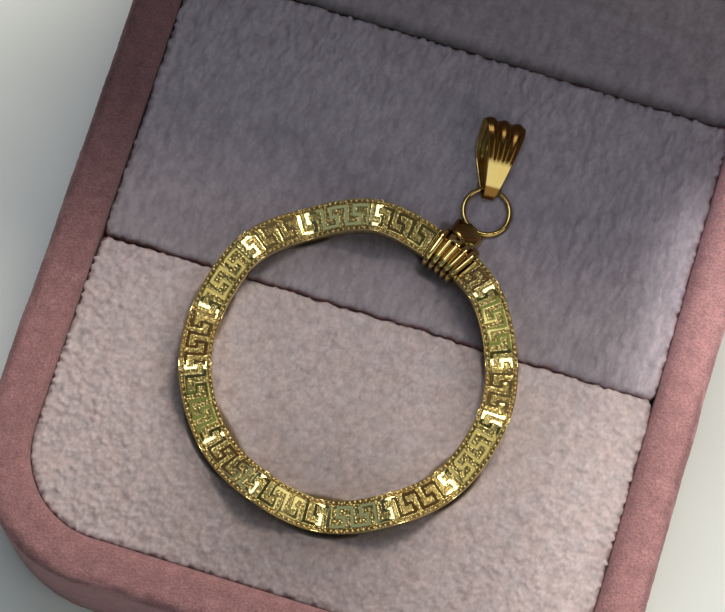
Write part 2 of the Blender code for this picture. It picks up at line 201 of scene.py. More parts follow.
def add_surface(name, points, quads, material, body, values=None):
    """A closed, smooth mesh from points (n, 3) and quads (m, 4).

    Points that meet are joined, open ends are capped, and the faces are turned outwards.
    """
    mesh = bpy.data.meshes.new(name)
    mesh.vertices.add(len(points))
    mesh.vertices.foreach_set("co", points.astype(np.float32).ravel())
    mesh.loops.add(quads.size)
    mesh.loops.foreach_set("vertex_index", quads.astype(np.int32).ravel())
    mesh.polygons.add(len(quads))
    mesh.polygons.foreach_set("loop_start", np.arange(0, quads.size, 4, dtype=np.int32))
    for key, numbers in (values or {}).items():
        layer = mesh.attributes.new(key, "FLOAT", "POINT")
        layer.data.foreach_set("value", numbers.astype(np.float32).ravel())
    mesh.update(calc_edges=True)
    bm = bmesh.new()
    bm.from_mesh(mesh)
    bmesh.ops.delete(bm, geom=[vert for vert in bm.verts if not vert.link_faces], context="VERTS")
    bmesh.ops.remove_doubles(bm, verts=bm.verts, dist=WELD)
    rims = [edge for edge in bm.edges if edge.is_boundary]
    if rims:
        bmesh.ops.holes_fill(bm, edges=rims, sides=0)
    bmesh.ops.recalc_face_normals(bm, faces=bm.faces)
    bm.to_mesh(mesh)
    bm.free()
    mesh.shade_smooth()
    piece = bpy.data.objects.new(name, mesh)
    bpy.context.scene.collection.objects.link(piece)
    mesh.materials.append(material)
    if body:
        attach(piece, body)
    return piece


def add_tube(name, points, material, body="base", wrap=(True, True), values=None):
    """A grid of points (columns, rows, 3), closed where wrap says so and capped elsewhere."""
    columns, rows = points.shape[:2]
    return add_surface(name, points.reshape(-1, 3), grid_faces(columns, rows, *wrap),
                       material, body, values)


def smooth(x):
    """3x^2 - 2x^3 between 0 and 1, flat outside."""
    x = np.clip(x, 0.0, 1.0)
    return x * x * (3.0 - 2.0 * x)


def turns(count):
    """The circle's angle cut into equal steps."""
    return np.arange(count) * 2 * math.pi / count


def value_noise(x, y, size, seed):
    """Noise from 0 to 1: random numbers on a lattice, blended with 3t^2 - 2t^3.

    size is the lattice's step, one number or one each along x and y.
    """
    table = np.random.default_rng(seed).random((256, 256))
    x, y = x / np.ravel(size)[0], y / np.ravel(size)[-1]
    column, row = np.floor(x).astype(int), np.floor(y).astype(int)
    across, along = smooth(x - column), smooth(y - row)

    def corner(i, j):
        return table[(column + i) % 256, (row + j) % 256]

    near = corner(0, 0) * (1 - across) + corner(1, 0) * across
    far = corner(0, 1) * (1 - across) + corner(1, 1) * across
    return near * (1 - along) + far * along


def unit(vectors):
    """Vectors brought to length 1."""
    return vectors / np.linalg.norm(vectors, axis=-1, keepdims=True)


def rotation(angle, axis):
    """A 3 x 3 turn about one axis, by the right-hand rule."""
    i, j = (axis + 1) % 3, (axis + 2) % 3
    turned = np.eye(3)
    turned[i, i] = turned[j, j] = math.cos(angle)
    turned[i, j], turned[j, i] = -math.sin(angle), math.sin(angle)
    return turned


def round_wire(path, radius, sides=14):
    """A round wire along a path: point = path + r (side cos a + top sin a), with side = tangent x up."""
    tangent = unit(np.gradient(path, axis=0))
    side = unit(np.cross(tangent, (0, 0, 1.0)))
    top = np.cross(side, tangent)
    turn = turns(sides)[None, :, None]
    return path[:, None] + radius * (side[:, None] * np.cos(turn) + top[:, None] * np.sin(turn))


def ring_wave(angle):
    """Height of the wave, a zigzag with rounded turns: H asin(k cos p) / asin(k), p = waves (a - crest)."""
    sizes = pendant()
    phase = sizes.wave_count * (angle - sizes.crest_angle)
    return sizes.wave_height * np.arcsin(ZIGZAG * np.cos(phase)) / math.asin(ZIGZAG)


def middle_radius():
    """Radius of the middle of the band."""
    return pendant().outer_radius - pendant().band_width / 2


def ring_lean(radius, angle):
    """The lift towards the collar: the collar's thickness under the band lifts that side of the ring."""
    return COLLAR_LIFT * radius / middle_radius() * np.cos(angle - pendant().collar_angle)


def ring_polar(x, y):
    """Distance and direction from the ring's middle."""
    dx, dy = x - pendant().centre[0], y - pendant().centre[1]
    return np.hypot(dx, dy), np.arctan2(dy, dx)


def ring_place(radius, angle, height):
    """Ring coordinates to points: (cx + r cos a, cy + r sin a, middle + wave(a) + lean + height)."""
    sizes = pendant()
    radius, angle, height = np.broadcast_arrays(radius, angle, height)
    return np.stack([
        sizes.centre[0] + radius * np.cos(angle),
        sizes.centre[1] + radius * np.sin(angle),
        ring_middle() + ring_wave(angle) + ring_lean(radius, angle) + height,
    ], -1)


def ring_middle():
    """Height of the band's middle: the foot of the frame's ring plus half the band, the wave and the lean."""
    sizes = pendant()
    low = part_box("key_ring")[0][2]
    trough = sizes.wave_height + sizes.band_thickness / 2
    return low + trough + COLLAR_LIFT * sizes.outer_radius / middle_radius()


def key_distance(along, across):
    """Distance to the key's line, in a unit that runs from 0 to its length.

    The line goes in at the start, along the inner edge, out to the middle, back, out to the outer
    edge and along it to the next unit. The distance is the least one to these seven straight runs.
    """
    length = key_length()
    outer, middle, inner = key_levels()
    back, front = 0.34 * length, 0.62 * length
    corners = [(0, outer), (0, inner), (front, inner), (front, middle), (back, middle),
               (back, outer), (length, outer), (length, inner)]
    least = np.full(np.broadcast(along, across).shape, 1.0)
    for (x0, y0), (x1, y1) in zip(corners[:-1], corners[1:]):
        run_x, run_y = x1 - x0, y1 - y0
        share = np.clip(((along - x0) * run_x + (across - y0) * run_y) / (run_x ** 2 + run_y ** 2), 0, 1)
        least = np.minimum(least, np.hypot(along - x0 - share * run_x, across - y0 - share * run_y))
    return least


def key_count():
    """Number of key units round the ring."""
    return pendant().wave_count * pendant().keys_per_wave


def key_length():
    """Length of one key unit along the middle of the band."""
    return 2 * math.pi * middle_radius() / key_count()


def key_levels():
    """Distances from the outer edge to the middle of the key's outer, middle and inner lines."""
    width, margin = pendant().band_width, 0.00046
    edge = margin + pendant().key_line / 2
    return edge, width / 2, width - edge


def make_ring_band(material):
    """The band with its key and stippled ground.

    Columns run round the ring and rows round its section. On the top face the height is
    h = relief * key(distance) + dome + grain * noise * (1 - key) + rim - channel. key falls from 1
    to 0 just outside half the line's width, the dome is d (1 - (distance / half the line)^2) on the
    line, and the channel is a groove under each row of beads. The attribute "line" holds the
    distance to the key's line in millimetres, and 0 on the polished rims and sides; "tarnish" runs
    from 0 to 1 in the hollows.
    """
    sizes = pendant()
    width, half = sizes.band_width, sizes.band_thickness / 2
    flank, grain_height, dome_height, rim_height, channel_depth = 0.00009, 0.00003, 0.000004, 0.00005, 0.00006
    per_key, top_rows, inset, lowered = 38, 50, 0.00005, 0.00003
    columns = key_count() * per_key
    angle = (sizes.key_angle - turns(columns))[:, None]
    along = (np.arange(columns) / per_key % 1.0) * key_length()
    along, over = np.meshgrid(along, np.linspace(inset, width - inset, top_rows), indexing="ij")
    distance = key_distance(along, over)
    to_edge = np.minimum(over, width - over)
    key = smooth((sizes.key_line / 2 + flank - distance) / flank)
    grain = np.random.default_rng(SEED).random((columns, top_rows))
    grain = (grain + np.roll(grain, 1, 0) + np.roll(grain, 1, 1)) / 3
    inside = smooth((to_edge - 0.00040) / 0.00008)
    rim = 1 - smooth((to_edge - 0.00006) / 0.00006)
    channel = (1 - rim) * (1 - smooth((to_edge - 0.00036) / 0.00010))
    dome = np.maximum(1 - (2 * distance / sizes.key_line) ** 2, 0)
    height = (sizes.key_relief * key + dome_height * dome) * (1 - channel)
    height = height + grain_height * (grain - 0.5) * (1 - key) * inside
    height = half - lowered + height + rim_height * rim - channel_depth * channel
    wall = [(0.00001, half - 0.00002), (0.0, half - 0.00010), (0.0, 0.0), (0.00002, 0.00010 - half),
            (0.00012, -half)]
    below = [(width - inward, level) for inward, level in wall] + [(width / 2, -half - 0.00002)] + wall[::-1]
    inward, level = (np.broadcast_to(side, (columns, len(below))) for side in zip(*below))
    points = np.concatenate([ring_place(sizes.outer_radius - over, angle, height),
                             ring_place(sizes.outer_radius - inward, angle, level)], 1)
    line = np.maximum(1000 * distance, 0.5 * channel) * (1 - rim)
    tarnish_and_shade = np.maximum(0.12 * (1 - key) * (1 - rim), 0.62 * channel)
    spare = np.zeros(level.shape)
    band = add_tube("ring_band", points, material, values={"line": np.concatenate([line, spare], 1),
                                                           "tarnish_and_shade": np.concatenate([tarnish_and_shade, spare], 1)})
    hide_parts("key_ring")


def make_beads(material):
    """Milgrain: rows of small round beads, each a low sphere, along both edges of the band.

    Bead point = middle + r * (cos u cos v, sin u cos v, sin v), turned to the band's slope.
    """
    sizes = pendant()
    inset, sink, bead, spokes, rises, step = 0.00022, 0.00004, 0.00014, 8, 6, 0.002
    outer, inner = sizes.outer_radius - inset, sizes.outer_radius - sizes.band_width + inset
    turn, rise = np.meshgrid(turns(spokes), np.linspace(-0.5, 1.0, rises) * math.pi / 2, indexing="ij")
    ball = np.stack([np.cos(turn) * np.cos(rise), np.sin(turn) * np.cos(rise), np.sin(rise)], -1)
    faces = grid_faces(spokes, rises, True, False)
    points, quads, start = [], [], 0
    for radius, count in ((outer, 196), (inner, 166)):
        angle = sizes.key_angle + turns(count)
        middle = ring_place(radius, angle, sizes.band_thickness / 2 - sink)
        slope = (ring_wave(angle + step) - ring_wave(angle - step)) / (2 * step * radius)
        out = np.stack([np.cos(angle), np.sin(angle), 0 * angle], -1)
        forward = unit(np.stack([-np.sin(angle), np.cos(angle), slope], -1))
        axes = np.stack([out, forward, np.cross(out, forward)], 1)
        size = bead * (0.92 + 0.16 * np.random.default_rng(count).random(count))
        world = middle[:, None, None] + np.einsum("trk,nkc,n->ntrc", ball, axes, size)
        first = start + np.arange(count) * spokes * rises
        points.append(world.reshape(-1, 3))
        quads.append((faces[None] + first[:, None, None]).reshape(-1, 4))
        start += world.size // 3
    add_surface("milgrain_beads", np.concatenate(points), np.concatenate(quads), material,
                "base")


def collar_section(out, steps):
    """Closed curve round the band: a rounded rectangle of the band grown by out.

    Returns the distance from the outer edge inwards and the height over the band's middle, from the
    inner side round over the top.
    """
    raised, power = 0.00016, 3.4
    width, half = pendant().band_width / 2, pendant().band_thickness / 2 + raised
    turn = turns(steps)
    bulge = (np.abs(np.cos(turn)) ** power + np.abs(np.sin(turn)) ** power) ** (-1 / power)
    return width - (width + out) * bulge * np.cos(turn), (half + out) * bulge * np.sin(turn)


def make_collar(material):
    """The collar's sleeve: a closed curve round the band, carried along it, with five round ribs.

    Its thickness over the band is t = base + rib * |sin(5 pi s)|^0.5, s running along the collar. The
    attribute "tarnish" darkens the grooves.
    """
    sizes = pendant()
    base, rib, bore, columns, steps = 0.00026, 0.00034, 0.00022, 76, 96
    share = np.linspace(0, 1, columns)
    angle = sizes.collar_angle + (share - 0.5) * sizes.collar_length / middle_radius()
    swell = np.abs(np.sin(share * 5 * math.pi)) ** 0.5
    ends = smooth(np.minimum(share, 1 - share) / 0.03)
    out = np.concatenate([(base + rib * swell) * (0.4 + 0.6 * ends), np.full(len(angle[::-3]), bore)])
    inward, level = collar_section(out[:, None], steps)
    angle = np.concatenate([angle, angle[::-3]])
    points = ring_place(sizes.outer_radius - inward, angle[:, None], level)
    groove = np.ones(len(out))
    groove[:columns] = (1 - 0.92 * swell ** 3) * (0.15 + 0.85 * ends)
    # The collar's outer side is darkened as well
    flank = 0.6 * smooth((0.0002 - collar_section(0.0003, steps)[0]) / 0.0004)
    collar = add_tube("collar_sleeve", points, material,
                      values={"tarnish_and_shade": np.maximum(groove[:, None], flank[None])})
    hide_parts("ribbed_collar")


def jump_middle():
    """Middle of the jump ring: on the frame's jump ring."""
    low, high = (np.array(corner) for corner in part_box("jump_ring"))
    return (low + high) / 2


def jump_axes():
    """The jump ring's first, second and upright directions; it leans about +Y."""
    return rotation(JUMP_LEAN, 1).T


def jump_at(angle):
    """Points on the middle of the jump ring's wire: middle + R (first cos a + second sin a)."""
    first, second, _ = jump_axes()
    angle = np.atleast_1d(angle)[:, None]
    return jump_middle() + pendant().jump_radius * (first * np.cos(angle) + second * np.sin(angle))


def make_jump_ring(material):
    """The jump ring: a circle of wire, point = middle + (R + r cos v)(cos u, sin u) + r sin v up."""
    first, second, up = jump_axes()
    columns, sides, wire, painted_wire_shade = 120, 16, pendant().jump_wire / 2, 0.50
    around, across = np.meshgrid(turns(columns), turns(sides), indexing="ij")
    radius = pendant().jump_radius + wire * np.cos(across)
    points = (jump_middle() + first * (radius * np.cos(around))[..., None]
              + second * (radius * np.sin(around))[..., None] + up * (wire * np.sin(across))[..., None])
    # Painted shade: the whole wire is darkened half way to the dark brown
    ring = add_tube("jump_ring_wire", points, material, values={"tarnish_and_shade": np.full(around.shape, painted_wire_shade)})
    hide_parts("jump_ring")


def make_eye(material):
    """The eye on the collar: a tapered barrel round the jump ring's wire, drawn out into a tent.

    Columns run along the wire, u from -1 to 1, and rows round it. In the row's direction d the
    radius is r = (sum (max(n . d, 0) / c)^p)^(-1/p) over four planes n, c: the slope up to the
    collar's top, the collar's flank, the underside and the free side. Towards the ends the radius
    shrinks to the hole's, as a rounded spindle.
    """
    sizes = pendant()
    columns, rows, hole, half_length, spread, power = 48, 48, 0.00036, 0.00044, 0.00110, 1.9
    share = np.sin(np.linspace(-1, 1, columns) * math.pi / 2)[:, None]
    _, _, up = jump_axes()
    centre = jump_at(sizes.collar_angle + EYE_AT + share[:, 0] * half_length / sizes.jump_radius)
    outward = (centre - jump_middle()) / sizes.jump_radius
    forward = np.cross(up, outward)
    turn = turns(rows)[None]
    x, y = np.cos(turn), np.sin(turn)
    planes = ((y - 0.62 * x, 0.00044), (x, 0.00200), (-y - 0.35 * x, 0.00046), (-x, 0.00042))
    radius = sum((np.maximum(side, 0) / gap) ** power for side, gap in planes) ** (-1 / power)
    spindle = np.sqrt(np.maximum(1 - np.abs(share) ** (2 + 1.5 * np.maximum(x, 0)), 0))
    radius = hole + (radius - hole) * spindle
    outer = (centre[:, None] + outward[:, None] * (radius * x)[..., None] + up * (radius * y)[..., None]
             + forward[:, None] * (spread * share * np.maximum(x, 0))[..., None])
    inner = centre[:, None] + hole * (outward[:, None] * x[..., None] + up * y[..., None])
    # Painted shade: the eye is darkest at its first end along the wire and lighter towards the last
    tarnish_and_shade = np.repeat(0.70 - 0.25 * share, rows, 1)
    add_tube("collar_eye", np.concatenate([outer, inner[::-1]]), material,
             values={"tarnish_and_shade": np.concatenate([tarnish_and_shade, tarnish_and_shade[::-1]])})


def make_hairpin(material):
    """The raised hairpin on the collar: a round wire up one rib, over an arch and down the next.

    Its distance from the band's outer edge falls evenly to the arch and grows again beyond it.
    """
    sizes = pendant()
    reach, bend, edge, rise, wire, count = 0.0026, 0.0004, 0.0001, 0.00074, 0.00021, 60
    pitch = sizes.collar_length / 5 / middle_radius()
    share = np.linspace(0, 1, count)
    angle = sizes.collar_angle + pitch * (1 - smooth((share - 0.36) / 0.28))
    inward = np.hypot(reach * np.abs(1 - 2 * share), bend) - edge
    path = ring_place(sizes.outer_radius - inward, angle, sizes.band_thickness / 2 + rise)
    add_tube("collar_hairpin", round_wire(path, wire), material, wrap=(False, True))


def blunt(x, power):
    """A number's size to a power, with its sign kept."""
    return np.sign(x) * np.abs(x) ** power


def bail_profile():
    """Side view of the bail as a closed leaf shape: share, along, out and facing at each point.

    With p from 0 to 2 pi, the share s = (1 + cos p) / 2 runs from the foot to the top, and
    out = thickness sin p, both with blunt ends. The front leaf's thickness is foot + f s / 0.85 up to
    s = 0.85, the back leaf's is foot + b sin(pi s^1.3)^1.2. facing is the outward direction.
    """
    steps, foot, front, back, tail = 110, 0.00074, 0.00058, 0.00105, 0.00100
    turn = -turns(steps)[:, None]
    share = (1 + blunt(np.cos(turn), 0.85)) / 2
    leaves = front * np.minimum(share / 0.85, 1), back * np.sin(math.pi * share ** 1.3) ** 1.2
    out = (foot + np.where(np.sin(turn) > 0, *leaves)) * blunt(np.sin(turn), 0.75)
    along = share * pendant().bail_length - tail
    run, rise = (np.roll(side, -1, 0) - np.roll(side, 1, 0) for side in (along, out))
    return share, along, out, np.arctan2(run, -rise)


def make_bail(material):
    """The bail: a tapered strip with three flutes, folded into a loop and closed round the jump ring.

    Across the strip the surface swells by f * sin(3 pi w)^2, w running from edge to edge. f is 0 up
    to the middle, rises there within a tenth of the length and grows with s^2 to the top. The upper
    half carries a painted reflection of the dark room and the inside a painted shade, and the foot's
    wrap is darkened too, all darker than the flat lower half.
    """
    foot_width, top_width, thickness, edge_round, columns = 0.00115, 0.0044, 0.00022, 0.00006, 61
    raised, painted_inside_shade = (0, 0, 0.00010), 0.40
    yaw, pitch, roll = np.radians((4.0, 13.5, 25.0))
    share, along, out, facing = bail_profile()
    across = np.linspace(0, 1, columns)[None]
    width = foot_width + (top_width - foot_width) * share
    flutes = np.sin(3 * math.pi * across) ** 2
    swell = (0.00010 + 0.00014 * share ** 2) * smooth((share - 0.44) / 0.10) * flutes
    rounding = edge_round * (1 - smooth(np.minimum(across, 1 - across) / 0.03))
    layers = []
    for lift, order in ((swell - rounding, 1), (swell + rounding - thickness, -1)):
        layer = [width * (across - 0.5), along + lift * np.cos(facing), out + lift * np.sin(facing)]
        layers.append(np.stack(layer, -1)[:, ::order])
    turn = rotation(yaw, 2) @ rotation(pitch, 0) @ rotation(roll, 1)
    points = (np.concatenate(layers, 1) + raised) @ turn.T + jump_at(BAIL_AT)[0]
    # Painted reflection on the upper half, the foot's wrap darkened, and painted shade on the inside
    tarnish_and_shade = 0.22 + 0.72 * (1 + smooth((share - 0.46) / 0.04) - smooth((share - 0.160) / 0.015))
    tarnish_and_shade = np.repeat(tarnish_and_shade, 2 * columns, 1)
    tarnish_and_shade[:, columns:] = painted_inside_shade
    bail = add_tube("bail_strip", points, material, values={"tarnish_and_shade": tarnish_and_shade})
    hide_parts("bail")


def rounded_outline(half_x, half_y, front, back, step):
    """Points and outward directions of a rectangle with rounded corners, front and back apart.

    Each corner is an arc, centre + r (cos a, sin a), and the straight sides are cut into steps.
    """
    arcs, points, normals = [], [], []
    corners = ((half_x - back, half_y - back, back), (back - half_x, half_y - back, back),
               (front - half_x, front - half_y, front), (half_x - front, front - half_y, front))
    for quarter, (x, y, radius) in enumerate(corners):
        count = max(int(radius * math.pi / 2 / step), 8)
        turn = np.radians(90.0 * quarter + np.linspace(0, 90, count))
        normal = np.stack([np.cos(turn), np.sin(turn)], -1)
        arcs.append((np.array([x, y]) + radius * normal, normal))
    for (arc, normal), (following, _) in zip(arcs, arcs[1:] + arcs[:1]):
        run = straight(arc[-1], following[0], step)
        points += [arc, run]
        normals += [normal, np.repeat(normal[-1:], len(run), 0)]
    return np.concatenate(points), np.concatenate(normals)


def straight(start, end, step):
    """Evenly spaced points between two points, without either of them."""
    count = max(int(np.linalg.norm(end - start) / step), 1)
    return start + (end - start) * (np.arange(1, count) / count)[:, None]


def arc_profile(x, z, radius, start, end, steps):
    """An arc of a side view: (x + r cos a, z + r sin a)."""
    turn = np.radians(np.linspace(start, end, steps))
    return np.stack([x + radius * np.cos(turn), z + radius * np.sin(turn)], -1)


def run_profile(start, end, steps):
    """A straight run of a side view, without its ends."""
    share = np.linspace(0, 1, steps + 2)[1:-1, None]
    return np.array(start) + (np.array(end) - np.array(start)) * share


def shell_points(height, foot_round, floor, step, seed):
    """The velvet shell: its side view carried round the box's outline.

    Side view (inset from the outer wall, height): foot, outer wall, rounded rim, inner wall, floor.
    The rim is let down at the back, where the hinge flap lies. Returns points and a painted shade:
    blotchy and darker where the rim turns down, darker at the left rear, and painted light on the
    rim's right side, paler towards its outer edge.
    """
    sizes = casket()
    half = (BASE_HIGH - BASE_LOW) / 2
    outline, normal = rounded_outline(half[0], half[1], sizes.front_radius, sizes.back_radius, step)
    rim, wide = sizes.rim_round, sizes.rim_width
    profile = np.concatenate([
        arc_profile(foot_round, foot_round, foot_round, 270, 180, 7),
        run_profile((0, foot_round), (0, height - rim), 22),
        arc_profile(rim, height - rim, rim, 180, 90, 9),
        run_profile((rim, height), (wide - rim, height), 7),
        arc_profile(wide - rim, height - rim, rim, 90, 0, 9),
        run_profile((wide, height - rim), (wide, floor), 4),
        [(wide, floor)],
    ])
    inset, level = profile[None, :, 0], profile[None, :, 1]
    place = outline[:, None] - normal[:, None] * inset[..., None]
    back = smooth((place[..., 1] - half[1] + wide + 0.0006) / 0.0005)
    back = back * smooth((half[0] - wide + 0.0002 - np.abs(place[..., 0])) / 0.0005)
    level = level - sizes.flap_drop * back * smooth((level - height + 0.004) / 0.003)
    outer = 1 - smooth((inset - wide + 0.0004) / 0.0004)
    run, rise = np.arange(len(outline))[:, None] * step, np.arange(len(profile))[None] * 0.0004
    fuzz = 0.00006 * (value_noise(run, rise, 0.0003, seed) - 0.5)
    fuzz = (fuzz + 0.00014 * (value_noise(run, rise, (0.004, 0.002), seed + 1) - 0.5)) * outer
    place = outline[:, None] - normal[:, None] * (inset - fuzz)[..., None]
    lift = fuzz * smooth((level - height + 0.0016) / 0.0008)
    blotch = value_noise(run, rise, (0.0016, 0.0009), seed + 2)
    # Painted shade: a blotchy darker band where the rim turns down, and a darker left rear
    turning = np.exp(-((inset - 0.0003) / 0.0005) ** 2) * smooth((level - height + 0.0022) / 0.0008)
    shade = 1.0 - 0.34 * turning * smooth(blotch * 1.6 - 0.2)
    shade = shade * (1 - 0.38 * smooth((place[..., 1] + 0.010) / 0.017) * smooth(-place[..., 0] / 0.02))
    # Painted light on the right rim's top, stronger towards the back, paler at its outer edge and darker at
    # its inner one
    lit = smooth(place[..., 0] / 0.02) * smooth((level - height + 0.006) / 0.004)
    shade = shade * (1 + lit * (0.36 + 0.80 * smooth((place[..., 1] + 0.008) / 0.020)))
    shade = shade * (1 + lit * (0.15 - 0.26 * smooth((inset - 0.0012) / 0.0030)))
    return np.concatenate([place, (level + lift)[..., None]], -1), shade


def make_box_base(material):
    """The box's lower shell, on the frame's solid."""
    foot_round, step = 0.0008, 0.00022
    points, shade = shell_points(BASE_HIGH[2] - BASE_LOW[2], foot_round, FRONT_LOW[2] - SEAT_GAP, step, SEED)
    shell = add_tube("velvet_base", points, material, wrap=(True, False),
                     values={"shade": shade})
    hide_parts("box_base")


def open_lid(points):
    """Shut lid to open lid: a turn about the hinge's axis."""
    pivot = np.array([0.0, HINGE_Y, HINGE_Z])
    return (points - pivot) @ rotation(OPEN_ANGLE, 0).T + pivot


def make_lid(material):
    """The lid's shell: the same side view, upside down over the base, then turned open."""
    top_round, step = 0.0030, 0.00050
    points, shade = shell_points(LID_HEIGHT, top_round, LID_WALL, step, SEED + 5)
    points[..., 2] = LID_TOP - points[..., 2]
    shell = add_tube("velvet_lid", open_lid(points), material, body="lid",
                     wrap=(True, False), values={"shade": shade})
    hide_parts("box_lid")


def cell_noise(x, y, seed):
    """Distance to the nearest of the points strewn one to a cell, and that point's random number."""
    strewn = np.random.default_rng(seed).random((128, 128, 3))
    column, row = np.floor(x).astype(int), np.floor(y).astype(int)
    nearest = np.full(np.shape(x), 9.0)
    number = np.zeros(np.shape(x))
    for i in (-1, 0, 1):
        for j in (-1, 0, 1):
            point = strewn[(column + i) % 128, (row + j) % 128]
            gap = np.hypot(column + i + point[..., 0] - x, row + j + point[..., 1] - y)
            closer = gap < nearest
            nearest = np.where(closer, gap, nearest)
            number = np.where(closer, point[..., 2], number)
    return nearest, number


def plush_height(x, y, seed, comb=0.0):
    """Tufts of the plush, from 0 to about 1.

    Each tuft is a dome 1 - d^2 round a strewn point, d being the distance, on a sheet that noise
    has shifted; two sizes are added up. comb draws the tufts out along the nap, towards +Y.
    """
    shift, cell, weight = 0.00035, 0.0007, 0.5
    x, y = (v + shift * (value_noise(x, y, cell, seed + step) - 0.5) for step, v in ((3, x), (4, y)))
    total = 0.0
    for step, size in enumerate((0.00082, 0.00042)):
        gap, number = cell_noise(x / size, y / (size * (1 + 1.6 * comb)), seed + step)
        total = total + weight * np.maximum(1 - gap ** 2, 0) * (0.45 + 0.55 * number)
    return total


def nap_dents(x, y):
    """Height that the plush is pressed down to by the gold pieces, far above where there is none.

    Each piece sinks in by a depth, and beside it the plush rises at a slope. The bail presses a strip
    that starts at its foot and rises slowly along it.
    """
    sizes = pendant()
    band_sink, collar_sink, wire_sink, bail_sink = 0.00012, 0.00080, 0.0001, 0.00105
    band_slope, collar_slope, wire_slope, bail_slope = 2.4, 1.5, 3.0, 1.2
    radius, angle = ring_polar(x, y)
    under = ring_middle() - sizes.band_thickness / 2 + ring_wave(angle) + ring_lean(radius, angle)
    off = np.maximum(radius - sizes.outer_radius, sizes.outer_radius - sizes.band_width - radius)
    band = under - band_sink + np.maximum(off - 0.00005, 0.0) * band_slope
    beside = np.abs(angle - sizes.collar_angle) * middle_radius() - sizes.collar_length / 2
    collar = under - collar_sink + np.hypot(np.maximum(off - 0.0008, 0), np.maximum(beside, 0)) * collar_slope
    first, _, _ = jump_axes()
    jump = jump_middle()
    jx, jy = (x - jump[0]) / first[0], y - jump[1]
    gap = np.abs(np.hypot(jx, jy) - sizes.jump_radius) - sizes.jump_wire / 2
    wire = jump[2] + jx * first[2] - sizes.jump_wire / 2 - wire_sink + np.maximum(gap, 0.0) * wire_slope
    foot = jump_at(BAIL_AT)[0]
    heading, half_width, length, climb = math.radians(94.0), 0.0008, 0.0062, 0.10
    fx, fy = x - foot[0], y - foot[1]
    along = fx * math.cos(heading) + fy * math.sin(heading)
    across = np.abs(fx * math.sin(heading) - fy * math.cos(heading)) - half_width
    past = np.hypot(np.maximum(np.maximum(-along, along - length), 0.0), np.maximum(across, 0.0))
    bail = foot[2] - bail_sink + np.maximum(along, 0) * climb + past * bail_slope
    return np.minimum.reduce([band, collar, wire, bail])


def cushion_points(low, high, radii, edge, pitch, coarse):
    """A sheet wrapped over a rounded block.

    The sheet's point (x, y) at distance s past the line where the top starts to fall goes to
    radius (r - e) + e sin(s / e) and height top - e (1 - cos(s / e)), then straight down the wall.
    radii are the front and back corners. Returns points, normals, the flat sheet's x and y, and
    where the sheet has reached the foot.
    """
    half, middle = (high[:2] - low[:2]) / 2, (high[:2] + low[:2]) / 2
    quarter, wall, tiny = edge * math.pi / 2, high[2] - low[2] - edge, 1e-9
    skirt = quarter + wall - 2 * edge
    sides = []
    for side in half + edge:
        fine = np.linspace(-side, side, int(2 * side / pitch))
        out = side + skirt * np.linspace(0, 1, max(int(skirt / coarse), 2) + 1)[1:]
        sides.append(np.concatenate([-out[::-1], fine, out]))
    x, y = np.meshgrid(*sides, indexing="ij")
    radius = np.where(y < 0, radii[0], radii[1])
    core_x, core_y = (np.clip(v, -(h - radius), h - radius) for v, h in ((x, half[0]), (y, half[1])))
    out_x, out_y = x - core_x, y - core_y
    distance = np.maximum(np.hypot(out_x, out_y), tiny)
    run = np.clip(distance - (radius - edge), 0.0, quarter + wall)
    bend = np.clip(run / edge, 0.0, math.pi / 2)
    outward = np.where(distance <= radius - edge, distance, radius - edge + edge * np.sin(bend))
    drop = edge * (1 - np.cos(bend)) + np.maximum(run - quarter, 0.0)
    nx, ny = out_x / distance, out_y / distance
    points = np.stack([middle[0] + core_x + nx * outward, middle[1] + core_y + ny * outward,
                       high[2] - drop], -1)
    normal = np.stack([nx * np.sin(bend), ny * np.sin(bend), np.cos(bend)], -1)
    return points, normal, x + middle[0], y + middle[1], run >= quarter + wall - tiny


def add_cushion(name, points, ended, material, body, node, values):
    """A wrapped sheet as a closed, padded piece: faces past its foot are left out."""
    columns, rows = points.shape[:2]
    quads = grid_faces(columns, rows, False, False)
    quads = quads[~ended.ravel()[quads].all(1)]
    cushion = add_surface(name, points.reshape(-1, 3), quads, material, body, values)
    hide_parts(node)


